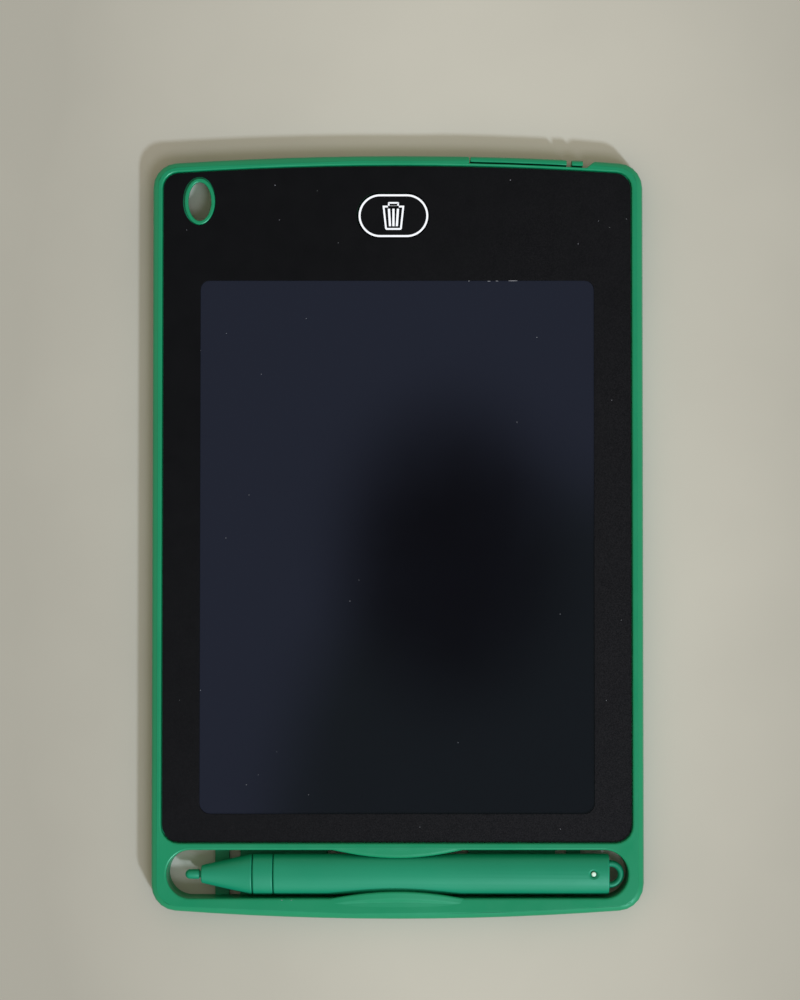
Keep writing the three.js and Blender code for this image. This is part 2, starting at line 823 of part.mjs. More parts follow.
function lowerContact() {
  const bumpFrom = trayX - contactBumpLength / 2;
  const bumpTo = trayX + contactBumpLength / 2;
  const bumpHeight = cellBottom - seatGap - contactThickness;
  return bentStrip([
    [boardRight - contactFoot, backWall],
    [bumpFrom - contactBumpLength, backWall],
    [bumpFrom, bumpHeight],
    [bumpTo, bumpHeight],
  ], contactThickness, contactWidth);
}

// Oval body along X, through stations of place, half width and half thickness
function ovalBody(stations) {
  return loft(stations.map(([x, halfWidth, halfThickness]) => {
    const ring = [];
    for (let i = 0; i < penSteps; i++) {
      const angle = (2 * Math.PI * i) / penSteps;
      const y = halfWidth * Math.cos(angle);
      ring.push(new THREE.Vector3(x, y, halfThickness * Math.sin(angle)));
    }
    return ring;
  }));
}

// Stylus places along the slot, from the nib to the loop
const nibTip = -slotHalfLength + penNoseGap;
const coneFront = nibTip + nibLength;
const coneBack = coneFront + coneLength;
const collarFront = coneBack + penSeam;
const collarBack = collarFront + collarLength;
const barrelFront = collarBack + penSeam;
const barrelBack = slotHalfLength - penTailGap - loopRadius - loopStand;
const penHalfWidth = penWidth / 2;
const penHalfThickness = penThickness / 2;

// Oval length of the stylus with an eased edge at each end
function ovalLength(from, to) {
  const eased = [penHalfWidth - penEdge, penHalfThickness - penEdge];
  return ovalBody([
    [from, ...eased],
    [from + penEdge, penHalfWidth, penHalfThickness],
    [to - penEdge, penHalfWidth, penHalfThickness],
    [to, ...eased],
  ]);
}

function stylusBarrel() {
  const socketFoot = barrelBack - loopPlugLength - seatGap;
  const socketHalf = loopPlugHalfWidth + seatGap;
  const socketHeight = loopThickness / 2 + seatGap;
  return ovalLength(barrelFront, barrelBack)
    .add(rod(spigotRadius, coneBack - spigotInCone, barrelFront + penEdge))
    .subtract(block(
      socketFoot, barrelBack + cutOverrun, -socketHalf, socketHalf, -socketHeight, socketHeight,
    ));
}

function stylusCollar() {
  return ovalLength(collarFront, collarBack)
    .subtract(rod(spigotRadius + seatGap, collarFront - cutOverrun, collarBack + cutOverrun));
}

function stylusNoseCone() {
  const shankEnd = coneFront + nibShankLength + seatGap;
  return ovalBody([
    [coneFront, coneTipHalfWidth - penEdge, coneTipHalfThickness - penEdge],
    [coneFront + penEdge, coneTipHalfWidth, coneTipHalfThickness],
    [coneBack - penEdge, penHalfWidth, penHalfThickness],
    [coneBack, penHalfWidth - penEdge, penHalfThickness - penEdge],
  ])
    .subtract(rod(spigotRadius + seatGap, coneBack - spigotInCone - seatGap, coneBack + cutOverrun))
    .subtract(rod(nibShankRadius + seatGap, coneFront - cutOverrun, shankEnd));
}

// Nib with a rounded point, turned about its own axis
function stylusNib() {
  const profile = [
    new THREE.Vector2(0, -nibShankLength),
    new THREE.Vector2(nibShankRadius, -nibShankLength),
    new THREE.Vector2(nibShankRadius, nibNeck),
    new THREE.Vector2(nibRadius, nibNeck),
  ];
  for (let i = 0; i <= edgeSteps; i++) {
    const angle = (Math.PI / 2) * (i / edgeSteps);
    const x = i < edgeSteps ? nibRadius * Math.cos(angle) : 0;
    profile.push(new THREE.Vector2(x, nibLength - nibRadius + nibRadius * Math.sin(angle)));
  }
  return solid(new THREE.LatheGeometry(profile, 2 * roundSteps).rotateZ(Math.PI / 2));
}

// Flat half ring with a plug that seats in the end of the barrel
function stylusEndLoop() {
  const shape = new THREE.Shape();
  shape.moveTo(-loopPlugLength, -loopPlugHalfWidth);
  shape.lineTo(penSeam, -loopPlugHalfWidth);
  shape.lineTo(penSeam, -loopRadius);
  shape.absarc(loopStand, 0, loopRadius, -Math.PI / 2, Math.PI / 2);
  shape.lineTo(penSeam, loopRadius);
  shape.lineTo(penSeam, loopPlugHalfWidth);
  shape.lineTo(-loopPlugLength, loopPlugHalfWidth);
  const hole = new THREE.Path();
  hole.absarc(loopLedge, 0, loopHoleRadius, -Math.PI / 2, Math.PI / 2);
  shape.holes.push(hole);
  return prism(shape, -loopThickness / 2, loopThickness / 2);
}

const greenPlastic = new THREE.MeshStandardMaterial({ color: 0x2a9468, roughness: 0.45 });
const penPlastic = new THREE.MeshStandardMaterial({ color: 0x2f9a74, roughness: 0.4 });
const blackOverlay = new THREE.MeshStandardMaterial({ color: 0x1b1b1e, roughness: 0.6 });
const darkFilm = new THREE.MeshStandardMaterial({ color: 0x20242e, roughness: 0.12 });
const blackPlastic = new THREE.MeshStandardMaterial({ color: 0x202022, roughness: 0.7 });
const whiteTape = new THREE.MeshStandardMaterial({ color: 0xd8d4c8, roughness: 0.8 });
const amberRibbon = new THREE.MeshStandardMaterial({ color: 0xb06a1c, roughness: 0.45 });
const boardLacquer = new THREE.MeshStandardMaterial({ color: 0x14532d, roughness: 0.5 });
const chipResin = new THREE.MeshStandardMaterial({ color: 0x151517, roughness: 0.6 });
const partCeramic = new THREE.MeshStandardMaterial({ color: 0x9b7a55, roughness: 0.6 });
const springMetal = new THREE.MeshStandardMaterial({ color: 0xc9c5b6, roughness: 0.3, metalness: 1 });
const cellSteel = new THREE.MeshStandardMaterial({ color: 0xc4c6c8, roughness: 0.3, metalness: 1 });

function addPiece(parent, name, body, material, place = [0, 0, 0]) {
  const mesh = new THREE.Mesh(geometryOf(body), material);
  mesh.name = name;
  mesh.position.set(...place);
  parent.add(mesh);
  return mesh;
}

const tablet = new THREE.Group();

const housing = new THREE.Group();
tablet.add(housing);
addPiece(housing, 'rear_cover', rearCover(), greenPlastic);
addPiece(housing, 'front_bezel', frontBezel(), greenPlastic);
addPiece(housing, 'slot_lip_upper', slotLip(slotTop, -upperLipReach), greenPlastic);
addPiece(housing, 'slot_lip_lower', slotLip(slotFoot, lowerLipReach), greenPlastic);

const screen = new THREE.Group();
tablet.add(screen);
const rearFilm = prism(windowOutline(filmBorder, bondLedge), 0, rearFilmThickness);
const backing = prism(windowOutline(filmBorder, bondLedge), 0, backingThickness);
addPiece(screen, 'front_panel_overlay', frontPanelOverlay(), blackOverlay);
addPiece(screen, 'adhesive_frame', adhesiveFrame(), whiteTape);
addPiece(
  screen, 'lcd_front_film', prism(windowOutline(filmBorder), 0, frontFilmThickness), darkFilm,
  [0, 0, frontFilmBottom],
);
addPiece(screen, 'lcd_rear_film', rearFilm, darkFilm, [0, 0, rearFilmBottom]);
addPiece(screen, 'backing_board', backing, blackPlastic, [0, 0, backingBottom]);
const tail = addPiece(screen, 'lcd_flex_tail', lcdTail(), amberRibbon, [tailX, 0, 0]);
tail.rotation.set(Math.PI / 2, Math.PI / 2, 0);

const electronics = new THREE.Group();
tablet.add(electronics);
addPiece(electronics, 'circuit_board', circuitBoard(), boardLacquer);
const partsX = (boardLeft + keySideOffset - keyLength / 2) / 2;
const chip = block(-chipLength / 2, chipLength / 2, -chipWidth / 2, chipWidth / 2, 0, chipHeight);
addPiece(electronics, 'driver_chip', chip, chipResin, [partsX, keyY, boardTop]);
const smallParts = ['board_capacitor_a', 'board_capacitor_b', 'board_resistor_a', 'board_resistor_b'];
smallParts.forEach((name, i) => {
  const half = smallPartLength / 2;
  const part = block(-half, half, -smallPartWidth / 2, smallPartWidth / 2, 0, smallPartHeight);
  const x = partsX + (i - (smallParts.length - 1) / 2) * smallPartPitch;
  const material = name.includes('capacitor') ? partCeramic : chipResin;
  addPiece(electronics, name, part, material, [x, keyY + smallPartPitch, boardTop]);
});
const upperSpring = addPiece(
  electronics, 'battery_contact_upper', upperContact(), springMetal, [0, cellY, 0],
);
const lowerSpring = addPiece(
  electronics, 'battery_contact_lower', lowerContact(), springMetal, [0, cellY, 0],
);
upperSpring.rotation.x = Math.PI / 2;
lowerSpring.rotation.x = Math.PI / 2;

const eraseControl = new THREE.Group();
eraseControl.position.set(keySideOffset, keyY, 0);
tablet.add(eraseControl);
addPiece(eraseControl, 'erase_key', eraseKey(), blackOverlay);
addPiece(eraseControl, 'tact_switch_body', tactSwitchBody(), chipResin);
addPiece(eraseControl, 'switch_plunger', switchPlunger(), whiteTape);

const battery = new THREE.Group();
tablet.add(battery);
addPiece(battery, 'battery_tray', batteryTray(), greenPlastic);
addPiece(battery, 'tray_latch_arm', trayLatchArm(), greenPlastic);
addPiece(battery, 'coin_cell', coinCell(), cellSteel, [trayX, cellY, cellBottom]);

const stylus = new THREE.Group();
stylus.position.set(0, penY, penCentreHeight);
tablet.add(stylus);
addPiece(stylus, 'stylus_barrel', stylusBarrel(), penPlastic);
addPiece(stylus, 'stylus_collar', stylusCollar(), penPlastic);
addPiece(stylus, 'stylus_nose_cone', stylusNoseCone(), penPlastic);
addPiece(stylus, 'stylus_nib', stylusNib(), penPlastic, [coneFront, 0, 0]);
addPiece(stylus, 'stylus_end_loop', stylusEndLoop(), penPlastic, [barrelBack, 0, 0]);

export default tablet;
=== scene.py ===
"""Picture of a pocket LCD writing tablet on a table, with its stylus in the slot."""

import json
import math

import bpy
from mathutils import Matrix, Vector
from mathutils.geometry import convex_hull_2d


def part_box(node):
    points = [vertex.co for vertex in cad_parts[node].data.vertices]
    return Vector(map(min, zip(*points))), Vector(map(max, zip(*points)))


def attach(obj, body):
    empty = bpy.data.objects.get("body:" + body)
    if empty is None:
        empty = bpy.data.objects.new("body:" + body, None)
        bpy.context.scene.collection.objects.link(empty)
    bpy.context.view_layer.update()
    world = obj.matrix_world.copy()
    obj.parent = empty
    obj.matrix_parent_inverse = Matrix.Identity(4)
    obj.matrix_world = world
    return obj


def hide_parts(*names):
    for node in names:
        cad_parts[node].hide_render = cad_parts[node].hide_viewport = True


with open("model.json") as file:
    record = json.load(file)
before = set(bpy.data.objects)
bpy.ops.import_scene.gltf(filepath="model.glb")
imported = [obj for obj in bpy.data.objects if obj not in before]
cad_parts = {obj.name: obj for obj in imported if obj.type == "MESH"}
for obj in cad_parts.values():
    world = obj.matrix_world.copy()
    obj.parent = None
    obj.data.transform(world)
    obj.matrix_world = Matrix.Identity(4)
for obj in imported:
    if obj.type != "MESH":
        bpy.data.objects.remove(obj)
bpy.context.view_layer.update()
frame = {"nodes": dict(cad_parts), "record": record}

nodes = frame["nodes"]

# Camera
# The picture is taken by hand from above the desk. The lens is above a place a little
# below the picture's middle and looks at a place above that one, so the case narrows
# towards its top. The sight line meets the picture a little to the right of its middle.
picture_width_px = 800
picture_height_px = 1000
case_middle_px = Vector((397.75, 536.03))
case_span_px = 490.56
under_lens_px = Vector((438, 572))
sight_px = Vector((438, 500))
camera_height = 0.566
sensor_length = 36.0

case_low, case_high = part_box("rear_cover")
parting_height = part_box("front_bezel")[0].z
pixel_size = (case_high.x - case_low.x) / case_span_px


def place_of_pixel(pixel):
    """Place at the height of the parting line that a pixel of the picture shows."""
    x = (pixel.x - case_middle_px.x) * pixel_size
    y = (case_middle_px.y - pixel.y) * pixel_size
    return Vector((x, y, parting_height))


lens_place = place_of_pixel(under_lens_px) + Vector((0, 0, camera_height))
aim_place = place_of_pixel(sight_px)
sight = aim_place - lens_place
ahead = sight.normalized()
across = ahead.cross(Vector((0, 1, 0))).normalized()
upward = across.cross(ahead)

camera_data = bpy.data.cameras.new("desk_camera")
camera_data.sensor_width = sensor_length
camera_data.lens = sensor_length * sight.length / (picture_height_px * pixel_size)
camera_data.shift_x = (picture_width_px / 2 - sight_px.x) / picture_height_px
camera = bpy.data.objects.new("desk_camera", camera_data)
camera.location = lens_place
camera.rotation_euler = Matrix((across, upward, -ahead)).transposed().to_euler()
bpy.context.scene.collection.objects.link(camera)
bpy.context.scene.camera = camera

# Light
# Cool daylight comes from the near right, partly straight from a window and partly from
# the pale wall round it, and the warm light of the room fills the shadows.
room_colour = (0.65, 0.592, 0.48, 1)


def daylight(name, elevation, bearing, softness, share, colour):
    """Sun lamp that gives a level surface its share of the light; angles in degrees."""
    lamp = bpy.data.lights.new(name, "SUN")
    lamp.angle = math.radians(softness)
    lamp.energy = share * math.pi / math.sin(math.radians(elevation))
    lamp.color = colour
    holder = bpy.data.objects.new(name, lamp)
    level = math.cos(math.radians(elevation))
    towards_lamp = Vector((
        level * math.cos(math.radians(bearing)),
        level * math.sin(math.radians(bearing)),
        math.sin(math.radians(elevation)),
    ))
    holder.rotation_euler = towards_lamp.to_track_quat("Z", "Y").to_euler()
    bpy.context.scene.collection.objects.link(holder)


daylight("window_light", 39.5, -56, 5, 0.445, (0.735, 0.827, 1.0))
daylight("wall_light", 58.5, -56, 17, 0.214, (0.80, 0.835, 1.0))

room = bpy.data.worlds.new("room_light")
room.use_nodes = True
room.node_tree.nodes["Background"].inputs["Color"].default_value = room_colour
bpy.context.scene.world = room
bpy.context.scene.view_settings.view_transform = "Standard"


# Table top
# A pale greige table top, a little blotchy, with a long pool of light painted into its
# colour, which makes it lighter near the middle of the picture.
def deselect():
    """Leaves nothing selected."""
    bpy.ops.object.select_all(action="DESELECT")


def link(tree, from_socket, to_socket):
    """Joins two sockets of a node tree."""
    tree.links.new(from_socket, to_socket)


def new_material(name, roughness, metallic=0.0):
    """Material with one Principled BSDF, given back with its node tree and shader."""
    material = bpy.data.materials.new(name)
    material.use_nodes = True
    shader = material.node_tree.nodes["Principled BSDF"]
    shader.inputs["Roughness"].default_value = roughness
    shader.inputs["Metallic"].default_value = metallic
    return material, material.node_tree, shader


def object_noise(tree, scale, detail):
    """Noise over the piece in its own Object coordinates; scale is in patches a metre."""
    place = tree.nodes.new("ShaderNodeTexCoord")
    noise = tree.nodes.new("ShaderNodeTexNoise")
    noise.inputs["Scale"].default_value = scale
    noise.inputs["Detail"].default_value = detail
    link(tree, place.outputs["Object"], noise.inputs["Vector"])
    return noise.outputs["Fac"]


def plain_math(tree, operation, *values):
    """Math node on sockets or numbers, given back by its output."""
    node = tree.nodes.new("ShaderNodeMath")
    node.operation = operation
    for i, value in enumerate(values):
        if isinstance(value, (int, float)):
            node.inputs[i].default_value = value
        else:
            link(tree, value, node.inputs[i])
    return node.outputs["Value"]


def share_between(tree, value, low, high):
    """Node whose result runs from 0 to 1 as a value goes from low to high."""
    share = tree.nodes.new("ShaderNodeMapRange")
    share.inputs["From Min"].default_value = low
    share.inputs["From Max"].default_value = high
    link(tree, value, share.inputs["Value"])
    return share


def two_tone(tree, factor, darker, lighter, start, end):
    """Colour that runs between two tones as a factor goes from start to end."""
    ramp = tree.nodes.new("ShaderNodeValToRGB")
    ramp.color_ramp.elements[0].position = start
    ramp.color_ramp.elements[0].color = (*darker, 1)
    ramp.color_ramp.elements[1].position = end
    ramp.color_ramp.elements[1].color = (*lighter, 1)
    link(tree, factor, ramp.inputs["Fac"])
    return ramp.outputs["Color"]


table_size = 6.0
table_dark = (0.354, 0.344, 0.292)
table_light = (0.480, 0.466, 0.396)
light_pool_middle = Vector((0.016, 0.0, 0.0))
light_pool_stretch = 2.5
light_pool_inner = 0.04
light_pool_outer = 0.10
blotches_a_metre = 22
blotch_strength = 0.5

deselect()
bpy.ops.mesh.primitive_plane_add(size=table_size, location=(0, 0, 0))
table_top = bpy.context.active_object
table_top.name = "table_top"
table_paint, tree, shader = new_material("table_paint", 0.75)
place = tree.nodes.new("ShaderNodeTexCoord")
narrow = tree.nodes.new("ShaderNodeMapping")
narrow.inputs["Location"].default_value = -light_pool_middle
narrow.inputs["Scale"].default_value = (1, 1 / light_pool_stretch, 1)
away = tree.nodes.new("ShaderNodeVectorMath")
away.operation = "LENGTH"
link(tree, place.outputs["Object"], narrow.inputs["Vector"])
link(tree, narrow.outputs["Vector"], away.inputs[0])
# Painted light: the table's colour is lighter inside the pool of light
pool = share_between(tree, away.outputs["Value"], light_pool_outer, light_pool_inner)
blotches = object_noise(tree, blotches_a_metre, 3)
patchy = plain_math(tree, "MULTIPLY_ADD", blotches, blotch_strength, -blotch_strength / 2)
lightness = plain_math(tree, "ADD", pool.outputs["Result"], patchy)
table_tone = two_tone(tree, lightness, table_dark, table_light, 0.0, 1.0)
link(tree, table_tone, shader.inputs["Base Color"])
shader.inputs["Specular IOR Level"].default_value = 0.2
table_top.data.materials.append(table_paint)


# Dim ceiling, camera and arms over the screen
# The screen mirrors a dim ceiling and, before it, the camera and the arms that hold it, as
# soft dark patches. Oval cards with faded rims stand for them; only reflections see them.
def mirrored_card(name, middle, radii, colour, core):
    """Oval card of one plain colour that fades out from its core to its rim."""
    deselect()
    bpy.ops.mesh.primitive_circle_add(vertices=64, radius=1, fill_type="NGON", location=middle)
    card = bpy.context.active_object
    card.name = name
    card.scale = (*radii, 1)
    paint = bpy.data.materials.new(name + "_paint")
    paint.use_nodes = True
    tree = paint.node_tree
    tree.nodes.clear()
    place = tree.nodes.new("ShaderNodeTexCoord")
    away = tree.nodes.new("ShaderNodeVectorMath")
    away.operation = "LENGTH"
    link(tree, place.outputs["Object"], away.inputs[0])
    fade = share_between(tree, away.outputs["Value"], core, 1.0)
    fade.interpolation_type = "SMOOTHSTEP"
    plain = tree.nodes.new("ShaderNodeEmission")
    plain.inputs["Color"].default_value = (*colour, 1)
    clear = tree.nodes.new("ShaderNodeBsdfTransparent")
    blend = tree.nodes.new("ShaderNodeMixShader")
    output = tree.nodes.new("ShaderNodeOutputMaterial")
    link(tree, fade.outputs["Result"], blend.inputs["Fac"])
    link(tree, plain.outputs["Emission"], blend.inputs[1])
    link(tree, clear.outputs["BSDF"], blend.inputs[2])
    link(tree, blend.outputs["Shader"], output.inputs["Surface"])
    card.data.materials.append(paint)
    card.visible_camera = False
    card.visible_diffuse = False
    card.visible_shadow = False
    card.visible_transmission = False


camera_card_place = lens_place + Vector((0.006, 0.008, 0.03))
arms_card_place = lens_place + Vector((0.055, -0.147, 0.035))
mirrored_card("dim_ceiling", (0, 0, 1.6), (2.6, 2.6), (0.27, 0.28, 0.31), 0.8)
mirrored_card("camera_card", camera_card_place, (0.068, 0.092), (0.01, 0.01, 0.01), 0.35)
mirrored_card("arms_card", arms_card_place, (0.150, 0.210), (0.105, 0.128, 0.100), 0.75)

# Rear cover
# One moulding of satin green plastic, with the floor windows of the pen slot in it and a
# fine spark-eroded texture on the back. Its edges carry the small radii of the mould.
weld_distance = 0.000002
flat_within = math.radians(0.4)
sharp_from = math.radians(32)


def merged_copy(node_name, piece_name):
    """Copy of a CAD node with its corners merged and its flat faces joined."""
    deselect()
    node = nodes[node_name]
    node.select_set(True)
    bpy.context.view_layer.objects.active = node
    bpy.ops.object.duplicate()
    piece = bpy.context.active_object
    piece.name = piece_name
    piece.data.name = piece_name
    piece.data.materials.clear()
    for fact in [key for key in piece.keys() if key.startswith("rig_")]:
        del piece[fact]
    piece.parent = None
    bpy.ops.object.mode_set(mode="EDIT")
    bpy.ops.mesh.select_all(action="SELECT")
    bpy.ops.mesh.remove_doubles(threshold=weld_distance)
    bpy.ops.mesh.dissolve_limited(angle_limit=flat_within)
    bpy.ops.object.mode_set(mode="OBJECT")
    return piece


def soften_edges(piece, radius, segments=2):
    """Small radii on the sharp edges of a piece, and even shading."""
    bevel = piece.modifiers.new("softened_edges", "BEVEL")
    bevel.width = radius
    bevel.segments = segments
    bevel.limit_method = "ANGLE"
    bevel.angle_limit = sharp_from
    bevel.use_clamp_overlap = False
    bpy.ops.object.modifier_apply(modifier=bevel.name)
    bpy.ops.object.shade_smooth_by_angle(angle=sharp_from)
    even = piece.modifiers.new("even_shading", "WEIGHTED_NORMAL")
    even.keep_sharp = True
    bpy.ops.object.modifier_apply(modifier=even.name)


def stand_for(piece, node_name, body, material):
    """Puts a finished piece in the place of its CAD node."""
    piece.data.materials.append(material)
    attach(piece, body)
    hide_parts(node_name)


def new_group(name, inputs, outputs):
    """Empty shader node group with named sockets, given back with its two end nodes."""
    group = bpy.data.node_groups.new(name, "ShaderNodeTree")
    for socket_name, kind, default in inputs:
        socket = group.interface.new_socket(socket_name, in_out="INPUT", socket_type=kind)
        socket.default_value = default
    for socket_name, kind in outputs:
        group.interface.new_socket(socket_name, in_out="OUTPUT", socket_type=kind)
    start = group.nodes.new("NodeGroupInput")
    end = group.nodes.new("NodeGroupOutput")
    return group, start, end


# Skin of a moulding: fine texture of the mould, slow drift of tone and faint handling marks
tone_drift = 0.1
rub_strength = 0.22
mould_skin, start, end = new_group(
    "mould_skin",
    [
        ("Colour", "NodeSocketColor", (0.5, 0.5, 0.5, 1)),
        ("Roughness", "NodeSocketFloat", 0.4),
        ("Grain Size", "NodeSocketFloat", 9000.0),
        ("Grain Depth", "NodeSocketFloat", 0.00001),
    ],
    [
        ("Colour", "NodeSocketColor"),
        ("Roughness", "NodeSocketFloat"),
        ("Normal", "NodeSocketVector"),
    ],
)
place = mould_skin.nodes.new("ShaderNodeTexCoord")
grain = mould_skin.nodes.new("ShaderNodeTexNoise")
grain.inputs["Detail"].default_value = 2.0
link(mould_skin, place.outputs["Object"], grain.inputs["Vector"])
link(mould_skin, start.outputs["Grain Size"], grain.inputs["Scale"])
bump = mould_skin.nodes.new("ShaderNodeBump")
link(mould_skin, start.outputs["Grain Depth"], bump.inputs["Distance"])
link(mould_skin, grain.outputs["Fac"], bump.inputs["Height"])
link(mould_skin, bump.outputs["Normal"], end.inputs["Normal"])
tone = share_between(mould_skin, object_noise(mould_skin, 45, 3), 0.0, 1.0)
tone.inputs["To Min"].default_value = 1 - tone_drift
tone.inputs["To Max"].default_value = 1 + tone_drift
tint = mould_skin.nodes.new("ShaderNodeVectorMath")
tint.operation = "SCALE"
link(mould_skin, start.outputs["Colour"], tint.inputs[0])
link(mould_skin, tone.outputs["Result"], tint.inputs["Scale"])
link(mould_skin, tint.outputs["Vector"], end.inputs["Colour"])
spread = plain_math(mould_skin, "SUBTRACT", object_noise(mould_skin, 220, 4), 0.5)
spread = plain_math(mould_skin, "MULTIPLY", spread, rub_strength)
rougher = plain_math(mould_skin, "ADD", start.outputs["Roughness"], spread)
link(mould_skin, rougher, end.inputs["Roughness"])


def moulded_plastic(
    name, colour, roughness, grain_size, grain_depth, gloss=0.5, gloss_tint=(1.0, 1.0, 1.0)
):
    """Moulded plastic with the mould's skin on it; grain size is in grains a metre."""
    material, tree, shader = new_material(name, roughness)
    shader.inputs["Specular IOR Level"].default_value = gloss
    shader.inputs["Specular Tint"].default_value = (*gloss_tint, 1)
    skin = tree.nodes.new("ShaderNodeGroup")
    skin.name = "skin"
    skin.node_tree = mould_skin
    skin.inputs["Colour"].default_value = (*colour, 1)
    skin.inputs["Roughness"].default_value = roughness
    skin.inputs["Grain Size"].default_value = grain_size
    skin.inputs["Grain Depth"].default_value = grain_depth
    link(tree, skin.outputs["Colour"], shader.inputs["Base Color"])
    link(tree, skin.outputs["Roughness"], shader.inputs["Roughness"])
    link(tree, skin.outputs["Normal"], shader.inputs["Normal"])
    return material


case_green = (0.0005, 0.213, 0.088)
case_gloss = 0.8
case_gloss_tint = (0.5, 1.0, 0.76)
rear_plastic = moulded_plastic(
    "rear_plastic", case_green, 0.48, 7000, 0.00001, case_gloss, case_gloss_tint
)
rear_shell = merged_copy("rear_cover", "rear_shell")
soften_edges(rear_shell, 0.00015)
stand_for(rear_shell, "rear_cover", "case", rear_plastic)

# Front bezel
# The front moulding, in the same green and smoother to the touch. Its outer edge is
# rounded, the panel lies sunk in it, and the pen slot and lanyard hole go right through.
hair = 0.000001
land_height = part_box("front_bezel")[1].z
rim_foot = parting_height + 0.001
crown_widening = 1.5
mouth_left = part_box("battery_tray")[0].x - 0.001
mouth_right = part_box("tray_latch_arm")[1].x + 0.004
lanyard_reach = 0.0056
front_plastic = moulded_plastic(
    "front_plastic", case_green, 0.36, 9000, 0.000002, case_gloss, case_gloss_tint
)

# Sides of the case's outline, each as a point on it and the way in from it. Two turns at
# one place have no side between them.
rim_places = [vertex.co.copy() for vertex in nodes["front_bezel"].data.vertices]
turn_points = [rim_places[i].xy for i in convex_hull_2d([place.xy for place in rim_places])]
outline_sides = []
for first, second in zip(turn_points, turn_points[1:] + turn_points[:1]):
    inward = (second - first).orthogonal().normalized()
    if inward.dot(first) > 0:
        inward = -inward
    if inward.length > 0.5:
        outline_sides.append((first, inward))


def way_in(place):
    """Distance of a place from the outline of the case, and the way in from there."""
    return min(((place.xy - point).dot(inward), *inward) for point, inward in outline_sides)


rounding_start = min(way_in(place)[0] for place in rim_places if place.z > rim_foot)
rounding_end = min(way_in(place)[0] for place in rim_places if place.z > land_height - hair)


def crown_rim(piece):
    """Carries the rounded outer edge further in, but not at the mouth of the battery tray."""
    for vertex in piece.data.vertices:
        depth, inward_x, inward_y = way_in(vertex.co)
        at_mouth = vertex.co.y > 0 and mouth_left < vertex.co.x < mouth_right
        if vertex.co.z > rim_foot and depth < rounding_end + 2 * hair and not at_mouth:
            step = max(0.0, depth - rounding_start) * (crown_widening - 1)
            vertex.co += Vector((inward_x, inward_y, 0)) * step


def round_edges(piece, radius, chosen):
    """Rounds the sharp edges of a piece whose ends both lie where chosen says."""
    bpy.ops.object.mode_set(mode="EDIT")
    bpy.ops.mesh.select_mode(type="EDGE")
    bpy.ops.mesh.select_all(action="DESELECT")
    bpy.ops.mesh.edges_select_sharp(sharpness=sharp_from)
    bpy.ops.object.mode_set(mode="OBJECT")
    corners = piece.data.vertices
    for edge in piece.data.edges:
        edge.select = edge.select and all(chosen(corners[i].co) for i in edge.vertices)
    bpy.ops.object.mode_set(mode="EDIT")
    bpy.ops.mesh.bevel(offset=radius, segments=4, affect="EDGES")
    bpy.ops.object.mode_set(mode="OBJECT")


lanyard_box = frame["record"]["physics"]["openings"][0]["box_m"]
lanyard_middle = (Vector(lanyard_box[0]) + Vector(lanyard_box[1])).xy / 2
panel_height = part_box("front_panel_overlay")[1].z
front_shell = merged_copy("front_bezel", "front_shell")
crown_rim(front_shell)
round_edges(front_shell, 0.0003, lambda co: (
    (co.xy - lanyard_middle).length < lanyard_reach and co.z > panel_height
))
soften_edges(front_shell, 0.00009)
stand_for(front_shell, "front_bezel", "case", front_plastic)

# Slot lips
# Two shallow lobes of the bezel that reach over the stylus at the middle of the slot and
# snap it in. Each is laid out as a grid and swept up into its rounded form.
lip_columns = 72
lip_edge_rows = 6
lip_back_rows = 24
lip_root = 0.00115
lip_floor = land_height - 0.00074
lip_fullness = 1.12
lip_end_sink = 0.00003
lip_overlap = 1.03
smooth_below = math.radians(40)


def crowned_lip(node_name, slot_side, edge, back_reach, levels):
    """Lip with a rounded inner edge, given as its depth and height, and a crowned back.

    The back's levels over the land go from the edge to the wall and die away at its ends.
    """
    low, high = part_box(node_name)
    tip, back = (low.y, high.y) if slot_side < 0 else (high.y, low.y)
    half = (high.x - low.x) / 2
    wall = back + slot_side * lip_root
    reach = abs(tip - wall)
    rows = lip_edge_rows + lip_back_rows
    deselect()
    bpy.ops.mesh.primitive_grid_add(x_subdivisions=lip_columns, y_subdivisions=rows, size=2)
    lip = bpy.context.active_object
    lip.name = node_name + "_crowned"
    for vertex in lip.data.vertices:
        along = vertex.co.x
        row = round((vertex.co.y + 1) / 2 * rows)
        ends = max(0.0, 1 - along ** 2)
        inner = wall + slot_side * reach * ends ** lip_fullness
        share = max(0, row - lip_edge_rows) / lip_back_rows
        turn = math.pi / 2 * min(row, lip_edge_rows) / lip_edge_rows
        start = inner - slot_side * edge[0] * (1 - math.cos(turn))
        y = start + (wall - slot_side * back_reach - start) * share
        knot = min(int(share * (len(levels) - 1)), len(levels) - 2)
        part = share * (len(levels) - 1) - knot
        level = levels[knot] + (levels[knot + 1] - levels[knot]) * part
        crown = level * ends - lip_end_sink * (1 - ends)
        vertex.co = (
            along * half * lip_overlap, y, land_height + crown - edge[1] * (1 - math.sin(turn))
        )
    bpy.ops.object.mode_set(mode="EDIT")
    bpy.ops.mesh.select_all(action="SELECT")
    bpy.ops.mesh.extrude_region_move(TRANSFORM_OT_translate={"value": (0, 0, -edge[1])})
    bpy.ops.object.mode_set(mode="OBJECT")
    for vertex in lip.data.vertices:
        if vertex.select:
            vertex.co.z = lip_floor
    bpy.ops.object.mode_set(mode="EDIT")
    bpy.ops.mesh.select_all(action="SELECT")
    bpy.ops.mesh.remove_doubles(threshold=hair)
    bpy.ops.mesh.normals_make_consistent(inside=False)
    bpy.ops.object.mode_set(mode="OBJECT")
    bpy.ops.object.shade_smooth_by_angle(angle=smooth_below)
    stand_for(lip, node_name, "case", front_plastic)


